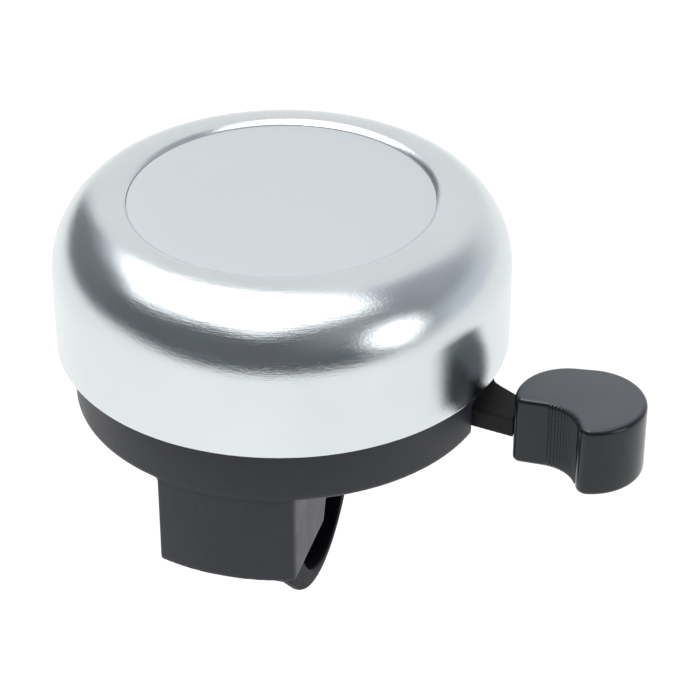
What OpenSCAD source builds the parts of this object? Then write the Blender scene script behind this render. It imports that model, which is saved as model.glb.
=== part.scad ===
// Bicycle bell with a spun dome, a thumb lever and a gear-driven ringer.
// Millimetres. Origin: centre of the handlebar bore. +X runs along the bar, +Y to the
// hinge side of the clamp, +Z up through the dome.

/* [Dome] */
// Outside diameter of the dome
dome_d = 58; // [57.5:0.5:60]
// Height of the dome from rim to crown
dome_h = 20.05; // [19.8:0.05:20.4]
// Thickness of the dome's sheet
dome_wall = 1; // [0.8:0.1:1]
// Radius of the dome's shoulder
shoulder_r = 10.6; // [10:0.1:11]
// Diameter of the round label in the crown
label_d = 38.5; // [37:0.1:38.7]
// Depth of the label's top face below the crown
label_drop = 0.7; // [0.6:0.05:0.75]

/* [Handlebar clamp] */
// Diameter of the handlebar
bar_d = 22.2; // [22:0.1:22.4]
// Width of the saddle and the front block along the bar
block_w = 17.7; // [17:0.1:20]
// Height of the front block's lower face above the bar's axis
block_z = 2.7; // [2.5:0.1:3.2]
// Width of the strap along the bar
strap_w = 11.7; // [10:0.1:12]
// Gap between the strap's lug and the block, closed by the screw
clamp_gap = 0.8; // [0.6:0.1:1]

/* [Base] */
// Diameter of the base skirt
skirt_d = 53.8; // [53.4:0.1:54]
// Thickness of the skirt's wall
skirt_wall = 1.5; // [1.2:0.1:1.6]
// Distance from the dome's rim down to the underside of the base
skirt_drop = 7.84; // [7.8:0.02:8]
// Height of the skirt inside the dome, above the rim
skirt_rise = 1.5; // [0.5:0.1:1.8]

/* [Lever] */
// Travel of the lever in degrees
lever_travel = 35; // [25:1:36]
// Height of the thumb pad
pad_h = 9.75; // [9:0.05:9.8]
// Number of grip ribs in the pad's hollow
pad_ribs = 12; // [7:1:12]

/* [Ringer] */
// Radius at which the two striker washers hang at rest
striker_orbit = 20.5; // [20.3:0.1:20.6]
// Outside diameter of a striker washer
striker_d = 12; // [11.4:0.1:12]

/* [Hidden] */
$fn = 96;
eps = 0.01;
over = 1;                     // how far a cutter runs past the face it opens

// Bell axis and heights, measured from the dome's rim plane.
bell_y = 1.5;                 // the bell's axis stands this far behind the bar's axis
base_z = 14.86;               // underside of the base above the bar's axis
rim_z = base_z + skirt_drop;  // rim plane above the bar's axis
bar_r = bar_d / 2;
dome_r = dome_d / 2;
recess_r = label_d / 2 + 0.1;
shoulder_drop = 9.65;         // centre of the shoulder's arc below the crown
shoulder_end = 48;            // the arc gives way to a flatter crown at this angle
crown_pull = 0.36;            // fullness of the crown's curve
lip_roll_r = 1.6;             // the lip rolls over into the recess with this radius
lip_reach = 1.2;              // from the recess's wall out to the top of the lip
lip_start = 85;               // the crown runs into the roll at this angle
label_t = 0.6;
label_top = dome_h - label_drop;
crown_z = label_top - label_t;         // top of the sheet under the label
crown_under = crown_z - dome_wall;
bush_r = 3.5;
bush_flange_r = 5.5;
bush_flange_t = 1.2;
bush_low = 12.6;
nut_af = 7;
nut_h = 2.4;
thread_r = 1.9;
post_top = 17;
post_shoulder = 8.2;          // the post steps down to its thread here
post_foot_r = 2.6;
post_foot_h = 2.6;            // how far the post's foot is set into the base

// Base
skirt_r = skirt_d / 2;
skirt_low = -skirt_drop;
floor_t = 1.5;
floor_top = skirt_low + floor_t;
skirt_edge = 0.6;
saddle_rear = 15;             // rear face of the saddle, from the bell's axis
block_edge = 0.7;
hinge_y = 13.6;               // strap hinge, from the bar's axis
hinge_z = 7;
hinge_eye_r = 2.9;
hinge_pin_r = 1.4;
saddle_low = 7;               // lower face of the saddle's rear end
eye_gap = 0.25;
eye_room = 2.6;               // room round the bar for the strap's end
eye_room_y = 4;
eye_room_top = 1.2;
boss_r = 3;
idler_boss_r = 2.4;
idler_pin_foot = 2.4;         // how far the idler's pin is set into the base

// Strap: a round band below the bar and a lug in front of it, both seen from the side
band_centre = [-0.95, 3.85];
band_r = 16.35;
band_wall = 2.3;              // greatest thickness behind the bar's axis
band_least = 1.2;
lug_tip_y = -21.6;
lug_heel = [-11.2, -9];
lug_root_y = -6;
lug_root_rise = 1;            // the lug's underside is this much higher at its root
strap_reach = 20;             // half the side of the squares that trim the band
flange_h = 0.7;               // the flange on the strap's right-hand edge stands out this far
flange_w = 1.2;

// Clamp screw, standing upright in front of the bar
screw_y = -15.6;
screw_r = 2;
screw_head_r = 3.5;
screw_head_h = 2.2;
screw_seat_z = 0.7;
screw_top = 13;
screw_nut_z = 9;
screw_nut_h = 3.2;
screw_nut_af = 7;
screw_clear = 0.2;
cross_len = 3.8;
cross_w = 0.9;
cross_deep = 1.3;
hinge_pin_inset = 0.4;

// Ringer: lever pivot, idler and rotor, in the bell's own frame
slow_module = 0.8;            // tooth module of the lever's sector and the idler's small gear
fast_module = 0.6;            // tooth module of the idler's large gear and the rotor's pinion
pivot = [10, 12];
sector_teeth = 28;            // a whole wheel of this many teeth, of which a sector is kept
idler_small_teeth = 8;
idler_large_teeth = 28;
rotor_teeth = 12;
sector_r = sector_teeth * slow_module / 2;
slow_centres = (sector_teeth + idler_small_teeth) * slow_module / 2;
fast_centres = (idler_large_teeth + rotor_teeth) * fast_module / 2;
pivot_far = norm(pivot);
pivot_az = atan2(pivot.y, pivot.x);
idler_az = pivot_az + acos((pivot_far * pivot_far + fast_centres * fast_centres
    - slow_centres * slow_centres) / (2 * pivot_far * fast_centres));
idler = polar(fast_centres, idler_az);
mesh_az = atan2(idler.y - pivot.y, idler.x - pivot.x);
rotor_az = 60;
pressure_angle = 25;
stub = 0.75;                  // addendum over module
root_depth = 0.95;            // dedendum over module
tooth_sink = 0.2;             // teeth are rooted this far inside the root circle
flank_slack = 0.05;           // each flank is set back this far for running clearance

// Levels in the bell's frame
lever_low = floor_top + 0.24;
lever_t = 2.2;
lever_top = lever_low + lever_t;
gear_low = lever_top + 0.3;
gear_t = 1.6;
gear_top = gear_low + gear_t;
pin_r = 1.5;
running = 0.05;               // radial clearance of a running fit
clip_t = 0.5;
clip_groove = 0.4;
clip_gap = 0.05;
clip_mouth = 0.8;             // half the mouth's width over the groove's radius
rotor_clip_r = 3.6;
idler_clip_r = 3;
lever_clip_r = 2.7;
idler_hub_r = 2.7;
idler_hub_t = 0.6;
pin_end = 0.9;                // a pin stands out this far above its clip's groove
rivet_r = 2.4;
rivet_t = 0.5;
post_r = 2;
post_flange_r = 3.2;
washer_low = lever_top - 0.25;
washer_t = 0.45;
pinion_low = washer_low + washer_t + clip_gap;
pinion_t = 1.9;
arm_low = 3.6;
arm_t = 1.5;
arm_top = arm_low + arm_t;
rotor_hub_r = 3.2;
rotor_spigot_r = 2.8;
arm_w = 8;
arm_boss_r = 6.5;
arm_end_r = 3.9;
light_hole_r = 2.2;
light_hole_x = 12;
striker_t = 2.2;
striker_low = arm_top + 0.1;
striker_bore_r = 2.25;
striker_pin_orbit = striker_orbit + 0.7;
striker_head_r = 2.6;
striker_head_t = 0.7;
striker_play = 0.2;
collar_r = 2.4;
collar_top = lever_top + 2.3;

// Lever arm outside the skirt
outer_arm_low = -7;
outer_arm_t = 2.65;
joggle_r = 19.6;              // the arm drops to its lower level this far from the pivot
joggle_lap = 0.5;
lever_boss_r = 5;
tongue_at = [31, -3.7];
tongue_turn = -5;
tongue_len = 11.5;
tongue_w = 3.6;
tongue_skin = 0.45;           // the arm's thickness left above and below the tongue
slot_from = -11.6;            // lever slot in the skirt, degrees about the bell's axis
slot_to = 40;
slot_top = lever_top + 0.6;
slot_gap = 0.4;

// Thumb pad
pad_low = -10.1;
pad_main = [40.95, -4.75];
pad_main_r = 7.1;
pad_nose = [38.65, -4.9];
pad_nose_r = 7;
pad_front = -7.05;            // the nose's flat front
grip = [35.72, -12.2];        // the hollow for the thumb
grip_r = 5.18;
pad_fit = 0.05;               // gap between the arm's end and the pad's nose
rib_r = 0.22;
rib_inset = 0.5;
rib_set = 0.04;
rib_from = 24;
rib_span = 60;

// Spring
wire_r = 0.3;
coil_r = 3.2;
coil_start = 60;
coil_end = 1070;
coil_steps = 68;
coil_sides = 8;
coil_low = lever_top + wire_r + clip_gap;
coil_pitch = 0.66;
leg_len = 9;
stop_post_r = 1;
stop_post_h = 1.4;
post_side = 1.9;              // a post stands this far to the side of the leg's radial line
lever_post_far = 8;           // distance and direction of each post from the lever's pivot
lever_post_az = -30;
fixed_post_far = 7;
fixed_post_az = 80;
fixed_post_over = 0.3;        // the fixed post stands above the lever's collar
spring_lever_post = pivot + polar(lever_post_far, lever_post_az) + polar(post_side, lever_post_az + 90);
spring_fixed_post = pivot + polar(fixed_post_far, fixed_post_az) + polar(post_side, fixed_post_az - 90);

dark_plastic = [0.12, 0.12, 0.13];
gloss_dark = [0.08, 0.08, 0.09];
alloy = [0.8, 0.81, 0.83];
steel = [0.62, 0.63, 0.65];
nylon = [0.88, 0.87, 0.82];
brass = [0.78, 0.62, 0.3];
label_grey = [0.7, 0.71, 0.73];

// ---- frames and small helpers ----

function polar(r, a) = r * [cos(a), sin(a)];

module in_bell() translate([0, bell_y, rim_z]) children();

module at2(p) translate([p.x, p.y, 0]) children();

module disc(r, low, top) translate([0, 0, low]) cylinder(r = r, h = top - low);

module ring(r_out, r_in, low, top)
    difference() {
        disc(r_out, low, top);
        disc(r_in, low - over, top + over);
    }

module hex_prism(af, low, top)
    translate([0, 0, low]) cylinder(r = af / 2 / cos(30), h = top - low, $fn = 6);

// Side view (y, z) extruded along the bar, centred on x = 0.
module along_bar(width)
    rotate([90, 0, 90]) translate([0, 0, -width / 2]) linear_extrude(width) children();

module wedge_2d(from, to, reach) {
    span = (to - from) / 3;
    polygon([[0, 0], for (i = [0 : 3]) polar(reach, from + i * span)]);
}

// Open retaining ring: a split washer that snaps into a pin's groove.
module e_clip(pin, r_out, low)
    difference() {
        ring(r_out, pin - clip_groove, low, low + clip_t);
        translate([0, -(pin - clip_groove) * clip_mouth, low - over])
            cube([r_out + over, 2 * (pin - clip_groove) * clip_mouth, clip_t + 2 * over]);
    }

// Pin with a groove for its clip and a lead-in at the top. The core joins the lead-in to the shank.
module grooved_pin(r, low, top, groove_low) {
    lead = 0.3;
    difference() {
        disc(r, low, top - lead);
        ring(r + over, r - clip_groove, groove_low, groove_low + clip_t);
    }
    disc(r / 2, low + lead, top - lead / 2);
    translate([0, 0, top - lead]) cylinder(r1 = r, r2 = r - lead, h = lead);
}

// ---- gears ----

function involute_angle(base_r, r) =
    let (a = acos(base_r / max(r, base_r))) tan(a) * 180 / PI - a;

module tooth_2d(teeth, m) {
    pitch_r = teeth * m / 2;
    base_r = pitch_r * cos(pressure_angle);
    tip_r = pitch_r + stub * m;
    low_r = pitch_r - root_depth * m - tooth_sink;
    half = 90 / teeth - flank_slack / pitch_r * 180 / PI + involute_angle(base_r, pitch_r);
    radii = [low_r, for (i = [0 : 4]) max(base_r, low_r) + (tip_r - max(base_r, low_r)) * i / 4];
    lead = [for (r = radii) polar(r, half - involute_angle(base_r, r))];
    trail = [for (i = [len(radii) - 1 : -1 : 0]) [lead[i].x, -lead[i].y]];
    polygon(concat(lead, trail));
}

module gear_2d(teeth, m, phase) {
    circle(r = teeth * m / 2 - root_depth * m);
    for (i = [0 : teeth - 1]) rotate(phase + i * 360 / teeth) tooth_2d(teeth, m);
}

// ---- dome and what holds it ----

function arc_points(centre, r, from, to, steps) = [for (i = [0 : steps])
    centre + polar(r, from + (to - from) * i / steps)];

// Points of a curve that leaves p in direction 90 + a and arrives at q in direction 90 + b.
function blend_points(p, a, q, b, steps) =
    let (pull = crown_pull * norm(q - p), c = p + pull * [-sin(a), cos(a)],
        d = q - pull * [-sin(b), cos(b)])
    [for (i = [1 : steps - 1]) let (t = i / steps, u = 1 - t)
        u * u * u * p + 3 * u * u * t * c + 3 * u * t * t * d + t * t * t * q];

function reversed(list) = [for (i = [len(list) - 1 : -1 : 0]) list[i]];

// One face of the sheet, from the top of the wall over the shoulder and crown to the lip.
function sheet_face(shoulder, roll, inset, lip_end) = concat(
    arc_points(shoulder, shoulder_r - inset, 0, shoulder_end, 20),
    blend_points(
        shoulder + polar(shoulder_r - inset, shoulder_end), shoulder_end,
        roll + polar(lip_roll_r - inset, lip_start), lip_start, 12),
    arc_points(roll, lip_roll_r - inset, lip_start, lip_end, 12)
);

module dome_profile_2d() {
    rim = 0.3;
    shoulder = [dome_r - shoulder_r, dome_h - shoulder_drop];
    roll = [recess_r + lip_reach, dome_h - lip_roll_r];
    lip_end = acos(-lip_reach / lip_roll_r);
    inner_end = acos((dome_wall - lip_reach) / (lip_roll_r - dome_wall));
    polygon(concat(
        [[dome_r - dome_wall, rim], [dome_r - dome_wall + rim, 0], [dome_r - rim, 0], [dome_r, rim]],
        sheet_face(shoulder, roll, 0, lip_end),
        [[recess_r, crown_z], [bush_r, crown_z], [bush_r, crown_under],
            [recess_r + dome_wall, crown_under]],
        reversed(sheet_face(shoulder, roll, dome_wall, inner_end))
    ));
}

module dome() color(alloy) in_bell() rotate_extrude() dome_profile_2d();

module dome_label()
    color(label_grey) in_bell() {
        edge = 0.15;
        disc(label_d / 2, crown_z, label_top - edge);
        translate([0, 0, label_top - edge])
            cylinder(r1 = label_d / 2, r2 = label_d / 2 - edge, h = edge);
    }

module dome_bush()
    color(brass) in_bell() difference() {
        union() {
            disc(bush_r, bush_low, crown_z);
            disc(bush_flange_r, crown_under - bush_flange_t, crown_under);
        }
        disc(thread_r, bush_low - over, post_top);
    }

module dome_lock_nut()
    color(steel) in_bell() difference() {
        hex_prism(nut_af, bush_low - nut_h, bush_low);
        disc(thread_r, bush_low - nut_h - over, bush_low + over);
    }

module centre_post()
    color(steel) in_bell() {
        disc(post_foot_r, skirt_low - post_foot_h, floor_top);
        disc(post_flange_r, floor_top, washer_low);
        difference() {
            disc(post_r, washer_low, post_shoulder);
            ring(post_r + over, post_r - clip_groove, arm_top + clip_gap,
                arm_top + clip_gap + clip_t);
        }
        disc(thread_r, post_shoulder, post_top);
    }

// ---- rotor ----

module thrust_washer()
    color(brass) in_bell() ring(post_flange_r, post_r + running, washer_low, washer_low + washer_t);

module rotor_pinion()
    color(nylon) in_bell() difference() {
        union() {
            translate([0, 0, pinion_low]) linear_extrude(pinion_t)
                gear_2d(rotor_teeth, fast_module, idler_az + 180 / rotor_teeth);
            disc(rotor_hub_r, pinion_low + pinion_t, arm_low);
            disc(rotor_spigot_r, arm_low, arm_top);
        }
        disc(post_r + running, pinion_low - over, arm_top + over);
    }

module rotor_arm()
    color(steel) in_bell() rotate(rotor_az) difference() {
        translate([0, 0, arm_low]) linear_extrude(arm_t) {
            circle(r = arm_boss_r);
            square([2 * striker_pin_orbit, arm_w], center = true);
            for (s = [-1, 1]) translate([s * striker_pin_orbit, 0]) circle(r = arm_end_r);
        }
        disc(rotor_spigot_r, arm_low - over, arm_top + over);
        for (s = [-1, 1]) translate([s * striker_pin_orbit, 0, 0])
            disc(pin_r, arm_low - over, arm_top + over);
        // Lightening holes
        for (s = [-1, 1]) translate([s * light_hole_x, 0, 0])
            disc(light_hole_r, arm_low - over, arm_top + over);
    }

module striker_pins()
    color(steel) in_bell() rotate(rotor_az) for (s = [-1, 1])
        translate([s * striker_pin_orbit, 0, 0]) {
            head_low = striker_low + striker_t + striker_play;
            disc(pin_r, arm_low, head_low);
            disc(striker_head_r, head_low, head_low + striker_head_t);
        }

module striker_washer(side)
    color(steel) in_bell() rotate(rotor_az) translate([side * striker_orbit, 0, 0]) difference() {
        edge = 0.3;
        union() {
            disc(striker_d / 2 - edge, striker_low, striker_low + striker_t);
            disc(striker_d / 2, striker_low + edge, striker_low + striker_t - edge);
        }
        disc(striker_bore_r, striker_low - over, striker_low + striker_t + over);
    }

module striker_washer_a() striker_washer(1);

module striker_washer_b() striker_washer(-1);

module rotor_clip() color(steel) in_bell() e_clip(post_r, rotor_clip_r, arm_top + clip_gap);

// ---- idler ----

module idler_pin()
    color(steel) in_bell() at2(idler)
        grooved_pin(pin_r, skirt_low - idler_pin_foot, gear_top + idler_hub_t + pin_end,
            gear_top + idler_hub_t + clip_gap);

module idler_gear()
    color(nylon) in_bell() at2(idler) difference() {
        union() {
            translate([0, 0, lever_low]) linear_extrude(gear_low - lever_low)
                gear_2d(idler_small_teeth, slow_module, mesh_az + 180 + 180 / idler_small_teeth);
            translate([0, 0, gear_low]) linear_extrude(gear_t)
                gear_2d(idler_large_teeth, fast_module, idler_az + 180);
            disc(idler_hub_r, gear_top, gear_top + idler_hub_t);
        }
        disc(pin_r + running, lever_low - over, gear_top + over);
    }

module idler_clip()
    color(steel) in_bell() at2(idler)
        e_clip(pin_r, idler_clip_r, gear_top + idler_hub_t + clip_gap);

// ---- lever ----

module lever_outline_2d()
    polygon([
        [6.6, 8.4], [12, 3.2], [20, -3.7], [27.1, -5.1], [32.7, -6.2],
        [33.8, -2.2], [28.3, 1.3], [12.3, 14.9]
    ]);

// Tongue that carries the thumb pad.
module lever_tongue()
    translate([tongue_at.x, tongue_at.y, outer_arm_low + tongue_skin]) rotate(tongue_turn)
        translate([0, -tongue_w / 2, 0]) cube([tongue_len, tongue_w, outer_arm_t - 2 * tongue_skin]);

module lever_sector_2d() {
    first = -4;
    last = 1;
    pitch_deg = 360 / sector_teeth;
    intersection() {
        union() {
            circle(r = sector_r - root_depth * slow_module);
            for (i = [first : last]) rotate(mesh_az + i * pitch_deg)
                tooth_2d(sector_teeth, slow_module);
        }
        wedge_2d(mesh_az + (first - 0.5) * pitch_deg, mesh_az + (last + 0.5) * pitch_deg,
            2 * sector_r);
    }
}

module lever()
    color(dark_plastic) in_bell() {
        difference() {
            union() {
                translate([0, 0, lever_low]) linear_extrude(lever_t) {
                    intersection() {
                        lever_outline_2d();
                        at2(pivot) circle(r = joggle_r + joggle_lap);
                    }
                    at2(pivot) circle(r = lever_boss_r);
                    at2(pivot) lever_sector_2d();
                }
                translate([0, 0, outer_arm_low]) linear_extrude(outer_arm_t) difference() {
                    lever_outline_2d();
                    at2(pivot) circle(r = joggle_r);
                    translate(pad_nose) circle(r = pad_nose_r + pad_fit);
                }
                at2(pivot) disc(collar_r, lever_top, collar_top);
                at2(spring_lever_post) disc(stop_post_r, lever_top, lever_top + stop_post_h);
                lever_tongue();
            }
            at2(pivot) disc(pin_r + running, lever_low - over, collar_top + over);
        }
    }

module lever_pivot_pin()
    color(steel) in_bell() at2(pivot) {
        disc(rivet_r, skirt_low, skirt_low + rivet_t);
        grooved_pin(pin_r, skirt_low + rivet_t, collar_top + pin_end, collar_top + clip_gap);
    }

module lever_clip()
    color(steel) in_bell() at2(pivot) e_clip(pin_r, lever_clip_r, collar_top + clip_gap);

// Torsion spring: a round wire swept along leg, coil and leg.
function coil_point(a) = [
    coil_r * cos(a), coil_r * sin(a), coil_pitch * (a - coil_start) / 360
];

function spring_path() = concat(
    [coil_point(coil_start) + leg_len * [sin(coil_start), -cos(coil_start), 0]],
    [for (i = [0 : coil_steps]) coil_point(coil_start + (coil_end - coil_start) * i / coil_steps)],
    [coil_point(coil_end) + leg_len * [-sin(coil_end), cos(coil_end), 0]]
);

module wire_sweep(path, r, sides) {
    n = len(path);
    rings = [for (i = [0 : n - 1])
        let (
            t = path[min(i + 1, n - 1)] - path[max(i - 1, 0)],
            dir = t / norm(t),
            side = cross([0, 0, 1], dir) / norm(cross([0, 0, 1], dir)),
            up = cross(dir, side)
        )
        for (k = [0 : sides - 1])
            path[i] + r * (cos(360 * k / sides) * side + sin(360 * k / sides) * up)];
    walls = [for (i = [0 : n - 2], k = [0 : sides - 1])
        [i * sides + k, (i + 1) * sides + k,
            (i + 1) * sides + (k + 1) % sides, i * sides + (k + 1) % sides]];
    start_cap = [[for (k = [0 : sides - 1]) k]];
    end_cap = [[for (k = [sides - 1 : -1 : 0]) (n - 1) * sides + k]];
    polyhedron(points = rings, faces = concat(start_cap, walls, end_cap), convexity = 6);
}

module lever_spring()
    color(steel) in_bell() at2(pivot) translate([0, 0, coil_low])
        wire_sweep(spring_path(), wire_r, coil_sides);

module pad_outline_2d()
    difference() {
        union() {
            translate(pad_main) circle(r = pad_main_r);
            translate(pad_nose) circle(r = pad_nose_r);
        }
        translate(grip) circle(r = grip_r);
        translate([grip.x - pad_main_r, pad_front - pad_main_r]) square(pad_main_r);
        // Corners beside the nose's front and at the far end of the hollow
        polygon([[30, -4.63], [33, -7.32], [30, -9]]);
        polygon([[40.3, -10.71], [42.2, -12.02], [41, -13], [39.5, -12.5]]);
    }

module thumb_pad()
    color(gloss_dark) in_bell() difference() {
        union() {
            translate([0, 0, pad_low]) linear_extrude(pad_h) pad_outline_2d();
            for (i = [0 : pad_ribs - 1]) translate(grip)
                rotate(rib_from + i * rib_span / (pad_ribs - 1))
                translate([grip_r + rib_set, 0, 0])
                    disc(rib_r, pad_low + rib_inset, pad_low + pad_h - rib_inset);
        }
        lever_tongue();
    }

// ---- base housing ----

module skirt_2d() {
    difference() {
        union() {
            translate([0, skirt_low + skirt_edge])
                square([skirt_r, skirt_drop + skirt_rise - skirt_edge]);
            translate([0, skirt_low]) square([skirt_r - skirt_edge, skirt_drop]);
            translate([skirt_r - skirt_edge, skirt_low + skirt_edge]) circle(r = skirt_edge);
        }
        translate([-over, floor_top]) square([skirt_r - skirt_wall + over, 2 * skirt_drop]);
        translate([-2 * over, skirt_low - over]) square([2 * over, 4 * skirt_drop]);
    }
}

// Side view of the saddle, front block and hinge lugs, in the bar's frame.
module saddle_side_2d() {
    difference() {
        union() {
            translate([-skirt_r, block_z])
                square([skirt_r + bell_y + saddle_rear, base_z - block_z]);
            translate([hinge_y, hinge_z]) circle(r = hinge_eye_r);
        }
        circle(r = bar_r);
        // The rear end stops above the bar's axis, behind the hinge lugs
        difference() {
            translate([0, -over]) square([3 * skirt_r, saddle_low + over]);
            translate([hinge_y, hinge_z]) circle(r = hinge_eye_r);
        }
    }
}

module saddle_plan_2d() {
    half = block_w / 2;
    intersection() {
        circle(r = skirt_r);
        polygon([
            [-half, -skirt_r + 2], [-half + block_edge, -skirt_r], [half - block_edge, -skirt_r],
            [half, -skirt_r + 2], [half, skirt_r], [-half, skirt_r]
        ]);
    }
}

// Room for the strap's eye between the two hinge lugs.
module eye_slot()
    along_bar(strap_w + 2 * eye_gap) {
        translate([hinge_y, hinge_z]) circle(r = hinge_eye_r + eye_gap);
        intersection() {
            circle(r = bar_r + eye_room);
            translate([eye_room_y, -strap_reach])
                square([strap_reach, strap_reach + hinge_z + eye_room_top]);
        }
    }

module base_housing()
    color(dark_plastic) difference() {
        union() {
            in_bell() rotate_extrude() skirt_2d();
            in_bell() disc(skirt_r - 2 * skirt_edge, skirt_low, floor_top);
            intersection() {
                along_bar(block_w + over) saddle_side_2d();
                translate([0, bell_y, -over]) linear_extrude(rim_z) saddle_plan_2d();
            }
            in_bell() at2(pivot) disc(boss_r, floor_top - eps, lever_low - clip_gap);
            in_bell() at2(idler) disc(idler_boss_r, floor_top - eps, lever_low - clip_gap);
            in_bell() at2(spring_fixed_post)
                disc(stop_post_r, floor_top - eps, collar_top + fixed_post_over);
        }
        along_bar(2 * dome_d) circle(r = bar_r);
        eye_slot();
        in_bell() {
            // Lever slot: the wall above the floor, and the floor's edge under the outer arm
            intersection() {
                ring(skirt_r + over, skirt_r - skirt_wall - over, floor_top, slot_top);
                translate([0, 0, skirt_low]) linear_extrude(skirt_drop)
                    wedge_2d(slot_from, slot_to, 2 * skirt_r);
            }
            intersection() {
                disc(skirt_r + over, skirt_low - over, slot_top);
                translate([0, 0, skirt_low - over]) linear_extrude(skirt_drop) difference() {
                    wedge_2d(slot_from, slot_to, 2 * skirt_r);
                    at2(pivot) circle(r = joggle_r - slot_gap);
                }
            }
            disc(post_foot_r, skirt_low - post_foot_h, floor_top + over);
            at2(idler) disc(pin_r, skirt_low - idler_pin_foot, lever_low);
            at2(pivot) disc(pin_r, skirt_low - over, lever_low);
            at2(pivot) disc(rivet_r, skirt_low - over, skirt_low + rivet_t);
        }
        // Clamp screw and the nut it draws on, dropped in from inside
        translate([0, screw_y, 0]) {
            disc(screw_r + screw_clear, 0, screw_nut_z + over);
            hex_prism(screw_nut_af + screw_clear, screw_nut_z, rim_z + floor_top + over);
        }
        along_bar(2 * block_w) translate([hinge_y, hinge_z]) circle(r = hinge_pin_r);
    }

// ---- clamp ----

// Side views of the strap in the bar's frame, with the outer faces set in by a distance.
module band_side_2d(inset)
    intersection() {
        union() {
            translate(band_centre) circle(r = band_r - inset);
            circle(r = bar_r + band_least);
        }
        union() {
            circle(r = bar_r + band_wall);
            translate([-strap_reach, -strap_reach])
                square([strap_reach, strap_reach + block_z - clamp_gap]);
        }
        polygon([
            [-strap_reach, block_z - clamp_gap], [-strap_reach, -strap_reach],
            [strap_reach, -strap_reach], [strap_reach, hinge_z], [0, hinge_z],
            [0, block_z - clamp_gap]
        ]);
    }

module lug_side_2d(inset) {
    lug_top = block_z - clamp_gap;
    slope = lug_heel.x + lug_heel.y + inset * sqrt(2);
    tip_y = lug_tip_y + inset;
    polygon([
        [lug_root_y, lug_top], [lug_root_y, lug_heel.y + inset + lug_root_rise],
        [lug_heel.x + inset, slope - lug_heel.x - inset], [tip_y, slope - tip_y], [tip_y, lug_top]
    ]);
}

module clamp_strap()
    color(dark_plastic) difference() {
        union() {
            along_bar(strap_w) band_side_2d(flange_h);
            along_bar(strap_w) lug_side_2d(flange_h);
            translate([(strap_w - flange_w) / 2, 0, 0]) {
                along_bar(flange_w) band_side_2d(0);
                along_bar(flange_w) lug_side_2d(0);
            }
            along_bar(strap_w) translate([hinge_y, hinge_z]) circle(r = hinge_eye_r);
        }
        along_bar(strap_w + over) circle(r = bar_r);
        along_bar(strap_w + over) translate([hinge_y, hinge_z]) circle(r = hinge_pin_r);
        translate([0, screw_y, 0]) {
            disc(screw_r + screw_clear, -strap_reach, strap_reach);
            disc(screw_head_r + screw_clear, -strap_reach, screw_seat_z);
        }
    }

module strap_hinge_pin()
    color(steel) translate([0, hinge_y, hinge_z]) rotate([0, 90, 0])
        translate([0, 0, hinge_pin_inset - block_w / 2])
            cylinder(r = hinge_pin_r, h = block_w - 2 * hinge_pin_inset);

module clamp_screw()
    color(steel) translate([0, screw_y, 0]) difference() {
        union() {
            disc(screw_r, screw_seat_z, screw_top);
            disc(screw_head_r, screw_seat_z - screw_head_h, screw_seat_z);
        }
        // Cross recess
        for (a = [0, 90]) rotate(a)
            translate([-cross_len / 2, -cross_w / 2, screw_seat_z - screw_head_h - over])
                cube([cross_len, cross_w, over + cross_deep]);
    }

module clamp_nut()
    color(steel) translate([0, screw_y, 0]) difference() {
        hex_prism(screw_nut_af, screw_nut_z, screw_nut_z + screw_nut_h);
        disc(screw_r, screw_nut_z - over, screw_nut_z + screw_nut_h + over);
    }

base_housing();
dome();
dome_label();
dome_bush();
dome_lock_nut();
centre_post();
thrust_washer();
rotor_pinion();
rotor_arm();
striker_pins();
striker_washer_a();
striker_washer_b();
rotor_clip();
idler_pin();
idler_gear();
idler_clip();
lever_pivot_pin();
lever();
lever_clip();
lever_spring();
thumb_pad();
clamp_strap();
strap_hinge_pin();
clamp_screw();
clamp_nut();
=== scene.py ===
import math

import bmesh
import bpy
from mathutils import Matrix, Vector


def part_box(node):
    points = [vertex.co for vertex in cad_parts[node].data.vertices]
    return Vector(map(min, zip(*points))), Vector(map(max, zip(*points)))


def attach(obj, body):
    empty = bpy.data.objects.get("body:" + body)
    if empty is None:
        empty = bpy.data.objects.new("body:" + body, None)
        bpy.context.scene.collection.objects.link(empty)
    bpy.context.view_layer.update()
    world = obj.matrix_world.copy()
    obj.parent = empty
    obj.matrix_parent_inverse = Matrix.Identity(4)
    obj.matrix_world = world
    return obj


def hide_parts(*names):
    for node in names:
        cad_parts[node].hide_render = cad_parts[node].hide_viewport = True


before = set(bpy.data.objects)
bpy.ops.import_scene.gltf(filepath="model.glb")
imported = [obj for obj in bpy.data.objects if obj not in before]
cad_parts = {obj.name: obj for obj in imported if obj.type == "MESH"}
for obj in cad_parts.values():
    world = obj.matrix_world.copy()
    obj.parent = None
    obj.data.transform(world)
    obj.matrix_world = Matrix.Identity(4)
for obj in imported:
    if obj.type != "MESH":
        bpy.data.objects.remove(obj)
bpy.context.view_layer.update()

MM = 0.001

# ---------------------------------------------------------------- sizes, from the CAD nodes

DOME_LOW, DOME_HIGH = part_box("dome")
AXIS_Y = (DOME_LOW.y + DOME_HIGH.y) / 2      # the bell's upright axis stands at x = 0, y = AXIS_Y
RIM_Z = DOME_LOW.z
CROWN_Z = DOME_HIGH.z
DOME_R = (DOME_HIGH.x - DOME_LOW.x) / 2
LABEL_LOW, LABEL_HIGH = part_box("dome_label")
LABEL_R = (LABEL_HIGH.x - LABEL_LOW.x) / 2
PAD_LOW, PAD_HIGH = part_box("thumb_pad")

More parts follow.
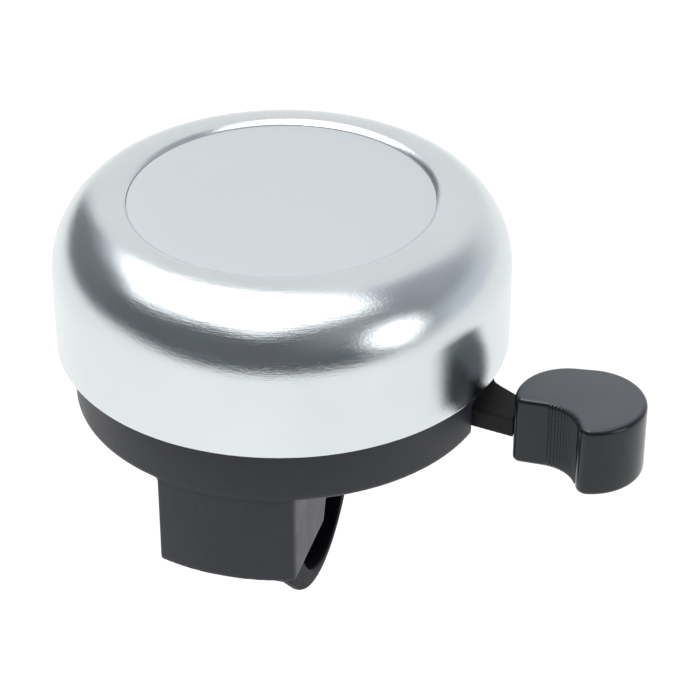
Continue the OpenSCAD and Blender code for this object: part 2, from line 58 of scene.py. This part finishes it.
WALL = 1.0 * MM
SHOULDER_R = 10.6 * MM
SHOULDER_DROP = 9.65 * MM     # centre of the shoulder's arc below the crown
SHOULDER_END = 48            # the arc gives way to a flatter crown at this angle
CROWN_PULL = 0.36            # fullness of the crown's curve
LIP_ROLL_R = 1.6 * MM        # the lip rolls over into the recess
LIP_REACH = 1.2 * MM         # from the recess's wall out to the top of the lip
LIP_START = 85               # the crown meets the lip's roll at this angle
RECESS_R = LABEL_R + 0.1 * MM
BUSH_R = 3.5 * MM
STREAK = 0.6 * MM            # how fast the spun marks change round the axis, per radian


# ---------------------------------------------------------------- node material helpers

NOISE_SPAN = (0.3, 0.7)      # a noise texture seldom leaves this range


class Nodes:
    """A node tree, with short calls for the nodes used here."""

    def __init__(self, tree):
        self.tree = tree

    def add(self, kind, **props):
        node = self.tree.nodes.new(kind)
        for key, value in props.items():
            setattr(node, key, value)
        return node

    def link(self, source, target):
        self.tree.links.new(source, target)

    def object_coords(self):
        return self.add("ShaderNodeTexCoord").outputs["Object"]

    def math(self, operation, a, b=None):
        node = self.add("ShaderNodeMath", operation=operation)
        for socket, value in zip(node.inputs, (a, b)):
            if value is None:
                continue
            if isinstance(value, (int, float)):
                socket.default_value = value
            else:
                self.link(value, socket)
        return node.outputs[0]

    def noise(self, coords, scale, detail, roughness, stretch=None):
        if stretch:
            mapping = self.add("ShaderNodeMapping")
            mapping.inputs["Scale"].default_value = stretch
            self.link(coords, mapping.inputs["Vector"])
            coords = mapping.outputs["Vector"]
        node = self.add("ShaderNodeTexNoise")
        node.inputs["Scale"].default_value = scale
        node.inputs["Detail"].default_value = detail
        node.inputs["Roughness"].default_value = roughness
        self.link(coords, node.inputs["Vector"])
        return node.outputs["Fac"]

    def spread(self, value, low, high, from_low=0.0, from_high=1.0):
        node = self.add("ShaderNodeMapRange")
        node.inputs["From Min"].default_value = from_low
        node.inputs["From Max"].default_value = from_high
        node.inputs["To Min"].default_value = low
        node.inputs["To Max"].default_value = high
        self.link(value, node.inputs["Value"])
        return node.outputs["Result"]

    def mix_color(self, factor, a, b):
        node = self.add("ShaderNodeMix", data_type="RGBA")
        self.link(factor, node.inputs["Factor"])
        node.inputs["A"].default_value = (*a, 1)
        node.inputs["B"].default_value = (*b, 1)
        return node.outputs["Result"]

    def blend_to(self, factor, base, color):
        node = self.add("ShaderNodeMix", data_type="RGBA")
        self.link(factor, node.inputs["Factor"])
        self.link(base, node.inputs["A"])
        node.inputs["B"].default_value = (*color, 1)
        return node.outputs["Result"]

    def spun_coords(self):
        """Coordinates (radius, height, a little of the angle) for marks that run round the bell's axis."""
        split = self.add("ShaderNodeSeparateXYZ")
        self.link(self.object_coords(), split.inputs[0])
        x, y, z = split.outputs
        y = self.math("SUBTRACT", y, AXIS_Y)
        squares = self.math("ADD", self.math("MULTIPLY", x, x), self.math("MULTIPLY", y, y))
        angle = self.math("ARCTAN2", y, x)
        join = self.add("ShaderNodeCombineXYZ")
        self.link(self.math("SQRT", squares), join.inputs[0])
        self.link(z, join.inputs[1])
        self.link(self.math("MULTIPLY", angle, STREAK), join.inputs[2])
        return join.outputs[0]


class Surface(Nodes):
    """A new material: the nodes round its Principled shader."""

    def __init__(self, name):
        self.material = bpy.data.materials.new(name)
        self.material.use_nodes = True
        super().__init__(self.material.node_tree)
        self.shader = next(n for n in self.tree.nodes if n.type == "BSDF_PRINCIPLED")

    def set(self, **values):
        for key, value in values.items():
            self.shader.inputs[key.replace("_", " ")].default_value = value

    def color(self, source):
        self.link(source, self.shader.inputs["Base Color"])

    def roughness(self, source):
        self.link(source, self.shader.inputs["Roughness"])

    def bump(self, height, strength, distance, rounded=None):
        """Fine relief. rounded is a radius by which sharp edges are softened as well."""
        node = self.add("ShaderNodeBump")
        node.inputs["Strength"].default_value = strength
        node.inputs["Distance"].default_value = distance
        self.link(height, node.inputs["Height"])
        if rounded:
            bevel = self.add("ShaderNodeBevel", samples=6)
            bevel.inputs["Radius"].default_value = rounded
            self.link(bevel.outputs["Normal"], node.inputs["Normal"])
        self.link(node.outputs["Normal"], self.shader.inputs["Normal"])


# ---------------------------------------------------------------- materials

def spun_alloy():
    m = Surface("spun_alloy")
    rings = m.spun_coords()
    fine = m.noise(rings, scale=9000, detail=3, roughness=0.65)
    broad = m.noise(rings, scale=900, detail=2, roughness=0.5)
    grain = m.noise(m.object_coords(), scale=2600, detail=4, roughness=0.7)
    cloud = m.noise(m.object_coords(), scale=60, detail=3, roughness=0.55)
    m.set(Metallic=1.0, Anisotropic=0.35)
    tint = m.spread(cloud, 0, 1, *NOISE_SPAN)
    m.color(m.mix_color(tint, (0.66, 0.695, 0.705), (0.70, 0.735, 0.745)))
    ringed = m.spread(fine, 0.12, 0.18, *NOISE_SPAN)
    clouded = m.spread(cloud, -0.02, 0.03, *NOISE_SPAN)
    m.roughness(m.math("ADD", ringed, clouded))
    tangent = m.add("ShaderNodeTangent", direction_type="RADIAL", axis="Z")
    m.link(tangent.outputs[0], m.shader.inputs["Tangent"])
    relief = m.math("ADD", m.math("MULTIPLY", grain, 1.6), m.math("MULTIPLY", broad, 0.15))
    m.bump(m.math("ADD", fine, relief), strength=0.6, distance=0.02 * MM)
    return m.material


def label_paint():
    m = Surface("label_paint")
    coords = m.object_coords()
    grain = m.noise(coords, scale=7000, detail=2, roughness=0.6)
    broad = m.noise(coords, scale=70, detail=2, roughness=0.5)
    m.set(Metallic=0.0, Specular_IOR_Level=0.25)
    shade = m.math("ADD", m.spread(grain, 0.0, 0.7), m.spread(broad, 0.0, 0.3))
    m.color(m.mix_color(shade, (0.445, 0.464, 0.483), (0.49, 0.509, 0.526)))
    m.roughness(m.spread(grain, 0.5, 0.62, *NOISE_SPAN))
    m.bump(grain, strength=0.3, distance=0.02 * MM)
    return m.material


DUST_SCALE = 420
DUST_SIZE = 0.03
DUST_COVER = 0.3
DUST_COLOR = (0.35, 0.36, 0.37)
# Over this height a top face's painted sheen and its wear fade in
WEAR_AND_SHEEN_FADE = 0.25 * MM


def moulded(name, dark, light, rough, specular, grain_scale, grain_depth, wear_and_sheen=None):
    """Moulded plastic. The last argument is (height, color, roughness): above that height the face is
    rougher with wear and painted paler, a painted sheen on the top face.
    """
    m = Surface(name)
    coords = m.object_coords()
    grain = m.noise(coords, scale=grain_scale, detail=3, roughness=0.6)
    flow = m.noise(coords, scale=220, detail=3, roughness=0.6)
    specks = m.add("ShaderNodeTexVoronoi")
    specks.inputs["Scale"].default_value = DUST_SCALE
    m.link(coords, specks.inputs["Vector"])
    dust = m.math("MULTIPLY", m.math("LESS_THAN", specks.outputs["Distance"], DUST_SIZE), DUST_COVER)
    base = m.mix_color(m.spread(flow, 0, 1, 0.35, 0.65), dark, light)
    roughness = m.spread(flow, rough - 0.05, rough + 0.05, *NOISE_SPAN)
    # Above the given height the face is rougher with wear, and painted paler: a painted sheen on the top
    # face
    if wear_and_sheen:
        wear_and_sheen_z, painted_sheen_color, worn_rough = wear_and_sheen
        split = m.add("ShaderNodeSeparateXYZ")
        m.link(coords, split.inputs[0])
        top = m.spread(split.outputs[2], 0, 1, wear_and_sheen_z - WEAR_AND_SHEEN_FADE, wear_and_sheen_z)
        base = m.blend_to(top, base, painted_sheen_color)
        roughness = m.math("ADD", roughness, m.math("MULTIPLY", top, worn_rough - rough))
    m.color(m.blend_to(dust, base, DUST_COLOR))
    m.roughness(roughness)
    m.set(Specular_IOR_Level=specular)
    m.bump(grain, strength=0.5, distance=grain_depth)
    return m.material


def plated(name, color_a, color_b, rough, rounded=0.12 * MM):
    m = Surface(name)
    coords = m.object_coords()
    grain = m.noise(coords, scale=2600, detail=3, roughness=0.6, stretch=(1, 1, 6))
    cloud = m.noise(coords, scale=300, detail=2, roughness=0.5)
    m.set(Metallic=1.0)
    m.color(m.mix_color(m.spread(cloud, 0, 1, *NOISE_SPAN), color_a, color_b))
    m.roughness(m.spread(grain, rough - 0.07, rough + 0.1, *NOISE_SPAN))
    m.bump(grain, strength=0.25, distance=0.03 * MM, rounded=rounded)
    return m.material


def natural_nylon():
    m = Surface("natural_nylon")
    coords = m.object_coords()
    cloud = m.noise(coords, scale=260, detail=3, roughness=0.6)
    grain = m.noise(coords, scale=3800, detail=2, roughness=0.6)
    m.set(Subsurface_Weight=0.12, Subsurface_Radius=(0.8 * MM, 0.6 * MM, 0.4 * MM))
    m.color(m.mix_color(m.spread(cloud, 0, 1, *NOISE_SPAN), (0.74, 0.72, 0.64), (0.82, 0.80, 0.73)))
    m.roughness(m.spread(grain, 0.36, 0.5, *NOISE_SPAN))
    m.bump(grain, strength=0.3, distance=0.02 * MM, rounded=0.1 * MM)
    return m.material


ALLOY = spun_alloy()
LABEL = label_paint()
BASE_PLASTIC = moulded("base_plastic", (0.014, 0.0155, 0.021), (0.021, 0.0225, 0.029), rough=0.46,
                       specular=0.4, grain_scale=2600, grain_depth=0.03 * MM)
STRAP_PLASTIC = moulded("strap_plastic", (0.003, 0.0037, 0.0065), (0.005, 0.0058, 0.0095), rough=0.55,
                        specular=0.08, grain_scale=2600, grain_depth=0.03 * MM)
ARM_PLASTIC = moulded("arm_plastic", (0.007, 0.007, 0.007), (0.011, 0.011, 0.011), rough=0.6,
                      specular=0.25, grain_scale=1800, grain_depth=0.06 * MM)
# The pad's top face is painted paler, a painted sheen for the light on it, with a rougher worn finish
PAD_PLASTIC = moulded("pad_plastic", (0.005, 0.0085, 0.011), (0.009, 0.0125, 0.015), rough=0.2,
                      specular=0.4, grain_scale=1500, grain_depth=0.012 * MM,
                      wear_and_sheen=(PAD_HIGH.z, (0.060, 0.066, 0.073), 0.42))
STEEL = plated("zinc_steel", (0.56, 0.57, 0.58), (0.66, 0.66, 0.65), 0.3)
SPRING_WIRE = plated("spring_wire", (0.45, 0.45, 0.46), (0.55, 0.55, 0.56), 0.25, rounded=None)
BRASS = plated("turned_brass", (0.72, 0.52, 0.24), (0.80, 0.62, 0.33), 0.28)
NYLON = natural_nylon()


# ---------------------------------------------------------------- mesh helpers

def finish_mesh(name, bm, material, sharp_deg):
    bmesh.ops.recalc_face_normals(bm, faces=bm.faces)
    mesh = bpy.data.meshes.new(name)
    bm.to_mesh(mesh)
    bm.free()
    obj = bpy.data.objects.new(name, mesh)
    bpy.context.scene.collection.objects.link(obj)
    mesh.shade_smooth()
    mesh.set_sharp_from_angle(angle=math.radians(sharp_deg))
    mesh.materials.append(material)
    return obj


TURN_STEPS = 256             # segments of a turned piece


def revolve(name, profile, material, closed=True, sharp_deg=32):
    """A profile of (radius, height) points turned about the bell's axis. A radius of 0 makes a pole."""
    bm = bmesh.new()
    turns = [2 * math.pi * i / TURN_STEPS for i in range(TURN_STEPS)]
    rings = []
    for r, z in profile:
        if r < 1e-7:
            rings.append([bm.verts.new((0, AXIS_Y, z))])
        else:
            rings.append([bm.verts.new((r * math.cos(a), AXIS_Y + r * math.sin(a), z)) for a in turns])
    pairs = list(zip(rings, rings[1:]))
    if closed:
        pairs.append((rings[-1], rings[0]))
    for a, b in pairs:
        for i in range(TURN_STEPS):
            j = (i + 1) % TURN_STEPS
            corners = []
            for v in (a[i % len(a)], a[j % len(a)], b[j % len(b)], b[i % len(b)]):
                if v not in corners:
                    corners.append(v)
            if len(corners) > 2:
                bm.faces.new(corners)
    return finish_mesh(name, bm, material, sharp_deg)


def arc(cx, cz, r, from_deg, to_deg, steps):
    angles = (math.radians(from_deg + (to_deg - from_deg) * i / steps) for i in range(steps + 1))
    return [(cx + r * math.cos(a), cz + r * math.sin(a)) for a in angles]


def remeshed(node, name, material, voxel, smooth_steps):
    """A moulded copy of a CAD node: the same solid with every edge softened."""
    mesh = bpy.data.meshes.new(name)
    bm = bmesh.new()
    bm.from_mesh(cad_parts[node].data)
    bmesh.ops.remove_doubles(bm, verts=bm.verts, dist=1e-6)
    bm.to_mesh(mesh)
    bm.free()
    obj = bpy.data.objects.new(name, mesh)
    bpy.context.scene.collection.objects.link(obj)
    mod = obj.modifiers.new("Remesh", "REMESH")
    mod.mode = "VOXEL"
    mod.voxel_size = voxel
    mod.adaptivity = 0
    relax = obj.modifiers.new("Relax", "SMOOTH")
    relax.factor = 0.5
    relax.iterations = smooth_steps
    graph = bpy.context.evaluated_depsgraph_get()
    made = bpy.data.meshes.new_from_object(obj.evaluated_get(graph))
    obj.modifiers.clear()
    obj.data = made
    made.name = name
    made.materials.clear()
    made.materials.append(material)
    made.shade_smooth()
    return obj


def place(obj, body, node):
    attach(obj, body)
    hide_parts(node)


# ---------------------------------------------------------------- dome and label

def crown_curve(start, start_deg, end, end_deg, steps):
    """Points between start and end, leaving and arriving at right angles to the two directions given."""
    pull = CROWN_PULL * math.dist(start, end)
    a, b = math.radians(start_deg), math.radians(end_deg)
    first = (start[0] - pull * math.sin(a), start[1] + pull * math.cos(a))
    second = (end[0] + pull * math.sin(b), end[1] - pull * math.cos(b))
    points = []
    for k in range(1, steps):
        t = k / steps
        u = 1 - t
        points.append(tuple(u ** 3 * p + 3 * u * u * t * c + 3 * u * t * t * d + t ** 3 * q
                            for p, c, d, q in zip(start, first, second, end)))
    return points


def sheet_face(inset):
    """One face of the dome's sheet, from the top of its wall over the crown to the recess."""
    shoulder = arc(DOME_R - SHOULDER_R, CROWN_Z - SHOULDER_DROP, SHOULDER_R - inset, 0, SHOULDER_END, 40)
    roll_end = math.degrees(math.acos((inset - LIP_REACH) / (LIP_ROLL_R - inset)))
    roll = arc(RECESS_R + LIP_REACH, CROWN_Z - LIP_ROLL_R, LIP_ROLL_R - inset, LIP_START, roll_end, 20)
    return shoulder + crown_curve(shoulder[-1], SHOULDER_END, roll[0], LIP_START, 30) + roll


def dome_profile():
    rim = WALL / 2
    top = CROWN_Z - SHOULDER_DROP
    wall_steps = 5
    wall_z = [RIM_Z + rim + (top - RIM_Z - rim) * k / wall_steps for k in range(1, wall_steps)]
    points = arc(DOME_R - rim, RIM_Z + rim, rim, -180, 0, 10)
    points += [(DOME_R, z) for z in wall_z] + sheet_face(0)
    floor_z = LABEL_LOW.z
    points += [(RECESS_R, floor_z), (BUSH_R, floor_z), (BUSH_R, floor_z - WALL),
               (RECESS_R + WALL, floor_z - WALL)]
    points += list(reversed(sheet_face(WALL)))
    points += [(DOME_R - WALL, z) for z in reversed(wall_z)]
    return points


place(revolve("dome_shell", dome_profile(), ALLOY, sharp_deg=40), "base", "dome")


def label_profile():
    """The disc fills the recess but for a narrow gap, with its top edge rounded off."""
    edge = 0.08 * MM
    gap = 0.02 * MM
    outer = RECESS_R - gap
    points = [(0, LABEL_LOW.z), (outer - edge, LABEL_LOW.z), (outer, LABEL_LOW.z + edge)]
    points += arc(outer - edge, LABEL_HIGH.z - edge, edge, 0, 90, 5)
    points += [(outer * k / 6, LABEL_HIGH.z) for k in range(5, -1, -1)]
    return points


place(revolve("label_disc", label_profile(), LABEL, closed=False), "base", "dome_label")


# ---------------------------------------------------------------- moulded parts

# Node, piece, body, material, voxel size and rounds of smoothing
MOULDINGS = [
    ("base_housing", "housing_moulding", "base", BASE_PLASTIC, 0.24 * MM, 6),
    ("clamp_strap", "strap_moulding", "base", STRAP_PLASTIC, 0.18 * MM, 12),
    ("lever", "lever_moulding", "lever", ARM_PLASTIC, 0.15 * MM, 3),
]
for node, name, body, material, voxel, smooth_steps in MOULDINGS:
    place(remeshed(node, name, material, voxel, smooth_steps), body, node)


# ---------------------------------------------------------------- thumb pad

# Its plan is measured from the bell's axis, in millimetres: two overlapping discs less the thumb's hollow
PAD_MAIN = (40.95, -4.75)
PAD_MAIN_R = 7.1
PAD_NOSE = (38.65, -4.9)
PAD_NOSE_R = 7.0
PAD_GRIP = (35.72, -12.2)
PAD_GRIP_R = 5.15
PAD_CORNER_R = 1.0           # rounding between the nose and its flat front
PAD_TIP_R = 1.5              # rounding at the hollow's far end
PAD_EDGE = 0.75              # rounding of the upper and lower edges
PAD_RIBS = 12                # upright ribs for grip, in the hollow
PAD_RIB_FROM = 85            # the ribs lie between these two angles of the hollow's circle
PAD_RIB_TO = 24
PAD_RIB_H = 0.13


def toward(a, b):
    return math.degrees(math.atan2(b[1] - a[1], b[0] - a[0]))


def meeting(a, ra, b, rb):
    """Where two circles meet, on the right-hand side going from a to b."""
    dx, dy = b[0] - a[0], b[1] - a[1]
    d = math.hypot(dx, dy)
    along = (ra * ra - rb * rb + d * d) / (2 * d)
    side = math.sqrt(ra * ra - along * along)
    return (a[0] + (along * dx + side * dy) / d, a[1] + (along * dy - side * dx) / d)


def pad_outline():
    """Points round the pad in plan, each with its outward normal and how much of a rib it carries."""
    front = PAD_GRIP[1] + PAD_GRIP_R
    tip = meeting(PAD_GRIP, PAD_GRIP_R + PAD_TIP_R, PAD_MAIN, PAD_MAIN_R - PAD_TIP_R)
    drop = PAD_NOSE[1] - front - PAD_CORNER_R
    reach = math.sqrt((PAD_NOSE_R - PAD_CORNER_R) ** 2 - drop ** 2)
    corner = (PAD_NOSE[0] - reach, front + PAD_CORNER_R)
    lean = math.acos((PAD_NOSE_R - PAD_MAIN_R) / math.dist(PAD_NOSE, PAD_MAIN))
    line = toward(PAD_NOSE, PAD_MAIN) + math.degrees(lean)
    points = []

    def sweep(centre, r, start, end, steps, hollow=False):
        for i in range(steps):
            deg = start + (end - start) * i / steps
            a = math.radians(deg)
            c, s = math.cos(a), math.sin(a)
            rib = 0.0
            if hollow and PAD_RIB_TO <= deg <= PAD_RIB_FROM:
                turns = (PAD_RIB_FROM - deg) / (PAD_RIB_FROM - PAD_RIB_TO) * PAD_RIBS
                rib = 0.5 - 0.5 * math.cos(2 * math.pi * turns)
            n = -1 if hollow else 1
            points.append((centre[0] + r * c, centre[1] + r * s, n * c, n * s, rib))

    sweep(PAD_MAIN, PAD_MAIN_R, toward(PAD_MAIN, tip), line, 72)
    sweep(PAD_NOSE, PAD_NOSE_R, line, 360 + toward(PAD_NOSE, corner), 44)
    sweep(corner, PAD_CORNER_R, 360 + toward(PAD_NOSE, corner), 270, 10)
    front_steps = 8
    for k in range(front_steps):
        points.append((corner[0] + (PAD_GRIP[0] - corner[0]) * k / front_steps, front, 0, -1, 0.0))
    sweep(PAD_GRIP, PAD_GRIP_R, 90, toward(PAD_GRIP, tip), 150, hollow=True)
    sweep(tip, PAD_TIP_R, 360 + toward(tip, PAD_GRIP), 360 + toward(PAD_MAIN, tip), 12)
    return points


def loft_pad():
    """The pad: its outline raised between two rounded edges, with ribs that die out before them."""
    low, high = PAD_LOW.z / MM, PAD_HIGH.z / MM
    edge_steps = 7
    wall_steps = 6
    turns = [math.radians(90 * k / edge_steps) for k in range(edge_steps + 1)]
    edge = [(PAD_EDGE * (1 - math.cos(a)), PAD_EDGE * (1 - math.sin(a)), math.sin(a) ** 4) for a in turns]
    wall = high - low - 2 * PAD_EDGE
    levels = [(low + rise, inset, ribs) for rise, inset, ribs in edge]
    levels += [(low + PAD_EDGE + wall * k / wall_steps, 0.0, 1.0) for k in range(1, wall_steps)]
    levels += [(high - rise, inset, ribs) for rise, inset, ribs in reversed(edge)]
    outline = pad_outline()
    bm = bmesh.new()
    rings = []
    for z, inset, ribs in levels:
        ring = []
        for x, y, nx, ny, rib in outline:
            out = PAD_RIB_H * rib * ribs - inset
            ring.append(bm.verts.new(((x + nx * out) * MM, AXIS_Y + (y + ny * out) * MM, z * MM)))
        rings.append(ring)
    for a, b in zip(rings, rings[1:]):
        for i in range(len(a)):
            j = (i + 1) % len(a)
            bm.faces.new((a[i], a[j], b[j], b[i]))
    bm.faces.new(list(reversed(rings[0])))
    bm.faces.new(rings[-1])
    return finish_mesh("pad_moulding", bm, PAD_PLASTIC, sharp_deg=60)


place(loft_pad(), "lever", "thumb_pad")


# ---------------------------------------------------------------- materials of the CAD nodes that show

NODE_LOOKS = {
    "dome_bush": BRASS, "thrust_washer": BRASS,
    "rotor_pinion": NYLON, "idler_gear": NYLON, "lever_spring": SPRING_WIRE,
}
for node_name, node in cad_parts.items():
    node.data.materials.clear()
    node.data.materials.append(NODE_LOOKS.get(node_name, STEEL))


# ---------------------------------------------------------------- stage, lights and camera

def plane(name, size, location, turn):
    bm = bmesh.new()
    bmesh.ops.create_grid(bm, x_segments=1, y_segments=1, size=size / 2)
    mesh = bpy.data.meshes.new(name)
    bm.to_mesh(mesh)
    bm.free()
    obj = bpy.data.objects.new(name, mesh)
    obj.location = location
    obj.rotation_euler = (0, 0, turn)
    bpy.context.scene.collection.objects.link(obj)
    return obj


def glowing(name, color, rough, glow):
    """Plain paint with an even glow of its own, so that it stays white in a dim corner too."""
    m = Surface(name)
    m.set(Base_Color=(*color, 1), Roughness=rough, Emission_Color=(1, 1, 1, 1), Emission_Strength=glow)
    return m.material


# Directions in the studio are given from the camera: an azimuth to its right and an elevation, in degrees.
# Places are given from the rim's centre: to the camera's right, toward the camera and up.
CAMERA_AZIMUTH = 17.2
CENTRE = Vector((0, AXIS_Y, RIM_Z))
CAMERA_TURN = math.radians(CAMERA_AZIMUTH)
TOWARD = Vector((math.sin(CAMERA_TURN), -math.cos(CAMERA_TURN), 0))
RIGHT = Vector((math.cos(CAMERA_TURN), math.sin(CAMERA_TURN), 0))
UP = Vector((0, 0, 1))

FLOOR_SIZE = 8
FLOOR_Z = -0.25
FLOOR_REACH = 1.0            # the floor ends this far in front of the bell
FLOOR_PAINT = (0.20, 0.20, 0.20)

floor = plane("floor", FLOOR_SIZE, TOWARD * (FLOOR_REACH - FLOOR_SIZE / 2) + UP * FLOOR_Z, CAMERA_TURN)
floor.data.materials.append(glowing("floor_paint", FLOOR_PAINT, rough=0.9, glow=0.86))

BACK_LEVEL = 0.92            # how bright the room is behind the bell
LEFT_LEVEL = 0.24            # and at the far left, from where it falls to FRONT_LEVEL
FRONT_LEVEL = 0.15
HIGH_LEFT_GLOW = 0.42        # what each pale patch of the room adds
HIGH_RIGHT_GLOW = 0.2
SIDE_GLOW = 0.12
LOW_RIGHT_GLOW = 0.45
OVERHEAD_GLOW = 0.25
FRONT_TINT = (0.95, 1.0, 1.085)
BACK_TINT = (0.985, 0.995, 1.0)


def studio_world():
    """Pale behind the bell and dim in front of it, with paler patches, as a room looks in the dome."""
    world = bpy.data.worlds.new("studio")
    bpy.context.scene.world = world
    world.use_nodes = True
    m = Nodes(world.node_tree)
    background = m.tree.nodes["Background"]
    direction = m.add("ShaderNodeTexCoord").outputs["Generated"]

    def along(vector):
        node = m.add("ShaderNodeVectorMath", operation="DOT_PRODUCT")
        m.link(direction, node.inputs[0])
        node.inputs[1].default_value = vector
        return node.outputs["Value"]

    def step(value, start, end, low=0.0, high=1.0):
        node = m.add("ShaderNodeMapRange", interpolation_type="SMOOTHSTEP")
        node.inputs["From Min"].default_value = math.radians(start)
        node.inputs["From Max"].default_value = math.radians(end)
        node.inputs["To Min"].default_value = low
        node.inputs["To Max"].default_value = high
        m.link(value, node.inputs["Value"])
        return node.outputs["Result"]

    azimuth = m.math("ARCTAN2", along(RIGHT), along(TOWARD))
    elevation = m.math("ARCSINE", along(UP))
    behind = m.math("MAXIMUM", step(azimuth, 105, 145), step(azimuth, -148, -158))
    # Each patch fades in between two azimuths, two elevations or both
    patches = [
        (m.math("MULTIPLY", step(azimuth, -5, 30), step(elevation, 0, 36)), HIGH_RIGHT_GLOW),
        (step(azimuth, 60, 110), SIDE_GLOW),
        (m.math("MULTIPLY", step(azimuth, 68, 84), step(elevation, 6, 24, 1, 0)), LOW_RIGHT_GLOW),
        (step(elevation, 55, 75), OVERHEAD_GLOW),
        (m.math("MULTIPLY", step(azimuth, -70, -40, 1, 0), step(elevation, 25, 42)), HIGH_LEFT_GLOW),
    ]
    front = step(azimuth, -160, -60, LEFT_LEVEL, FRONT_LEVEL)
    for place_in_room, glow in patches:
        front = m.math("ADD", front, m.math("MULTIPLY", place_in_room, glow))
    dim = m.math("MULTIPLY", front, m.math("SUBTRACT", 1.0, behind))
    total = m.math("ADD", dim, m.math("MULTIPLY", behind, BACK_LEVEL))
    # Seen directly, past the floor's end, the room is as white as the floor
    total = m.math("MAXIMUM", total, m.add("ShaderNodeLightPath").outputs["Is Camera Ray"])
    m.link(total, background.inputs["Strength"])
    m.link(m.mix_color(behind, FRONT_TINT, BACK_TINT), background.inputs["Color"])


studio_world()


def area_light(name, at, toward, size, radiance, shape="RECTANGLE", along=RIGHT):
    """A lamp at one point that faces another. along is the direction of the first of its two sizes."""
    data = bpy.data.lights.new(name, "AREA")
    data.shape = shape
    data.size, data.size_y = size
    area = size[0] * size[1] * (math.pi / 4 if shape == "DISK" else 1)
    data.energy = radiance * math.pi * area
    obj = bpy.data.objects.new(name, data)
    obj.location = at
    z = (at - toward).normalized()
    x = along.cross(z).cross(z) * -1
    x.normalize()
    obj.rotation_euler = Matrix((x, z.cross(x), z)).transposed().to_euler()
    bpy.context.scene.collection.objects.link(obj)


# The softbox hangs level over the bell, with a brighter disc just under it where its bulb shows through.
# Their two places are in units of the softbox's height.
SOFTBOX_HEIGHT = 0.9
SOFTBOX_TURN = math.radians(47)   # from the camera's right, turning towards it
SOFTBOX_AT = RIGHT * -0.405 + TOWARD * 0.27 + UP
SOFTBOX_SIZE = (1.90 * SOFTBOX_HEIGHT, 1.42 * SOFTBOX_HEIGHT)
SOFTBOX_RADIANCE = 1.7
BULB_AT = RIGHT * -0.35 + TOWARD * 0.45 + UP * 0.97
BULB_SIZE = 0.34
BULB_RADIANCE = 8.0
ROUND_LAMP_AZIMUTH = 54
ROUND_LAMP_ELEVATION = 12
ROUND_LAMP_DISTANCE = 0.8
ROUND_LAMP_SIZE = 0.40
ROUND_LAMP_RADIANCE = 2.2

softbox_at = CENTRE + SOFTBOX_AT * SOFTBOX_HEIGHT
area_light("softbox", softbox_at, softbox_at - UP, SOFTBOX_SIZE, SOFTBOX_RADIANCE,
           along=RIGHT * math.cos(SOFTBOX_TURN) + TOWARD * math.sin(SOFTBOX_TURN))
bulb_at = CENTRE + BULB_AT * SOFTBOX_HEIGHT
area_light("softbox_bulb", bulb_at, bulb_at - UP, (BULB_SIZE, BULB_SIZE), BULB_RADIANCE, shape="DISK")


def room_direction(azimuth, elevation):
    a = math.radians(azimuth)
    e = math.radians(elevation)
    return (TOWARD * math.cos(a) + RIGHT * math.sin(a)) * math.cos(e) + UP * math.sin(e)


lamp_at = CENTRE + room_direction(ROUND_LAMP_AZIMUTH, ROUND_LAMP_ELEVATION) * ROUND_LAMP_DISTANCE
area_light("round_lamp", lamp_at, CENTRE, (ROUND_LAMP_SIZE, ROUND_LAMP_SIZE), ROUND_LAMP_RADIANCE,
           shape="DISK")

# The camera stands off the rim's centre by an azimuth, an elevation and a distance. The centre isn't
# in the middle of the frame: AIM holds its offset to the right and up, as tangents.
CAMERA_ELEVATION = 32.34
CAMERA_DISTANCE = 0.3231
CAMERA_ROLL = -0.95
CAMERA_LENS = 129.24
AIM = (-0.02644, 0.00816)


def place_camera():
    a, e = math.radians(CAMERA_AZIMUTH), math.radians(CAMERA_ELEVATION)
    back = Vector((math.sin(a) * math.cos(e), -math.cos(a) * math.cos(e), math.sin(e)))
    right = Vector((math.cos(a), math.sin(a), 0))
    up = back.cross(right)
    level = Matrix((right, up, back))
    r = math.radians(CAMERA_ROLL)
    roll = Matrix(((math.cos(r), math.sin(r), 0), (-math.sin(r), math.cos(r), 0), (0, 0, 1)))
    aim = Vector((0, 0, -1)).rotation_difference(Vector((*AIM, -1)).normalized()).to_matrix()
    turn = aim @ roll @ level
    data = bpy.data.cameras.new("camera")
    data.lens = CAMERA_LENS
    data.sensor_width = 36
    data.clip_start = 0.01
    camera = bpy.data.objects.new("camera", data)
    bpy.context.scene.collection.objects.link(camera)
    camera.matrix_world = Matrix.Translation(CENTRE + back * CAMERA_DISTANCE) @ turn.transposed().to_4x4()
    bpy.context.scene.camera = camera


place_camera()
bpy.context.scene.view_settings.view_transform = "Standard"
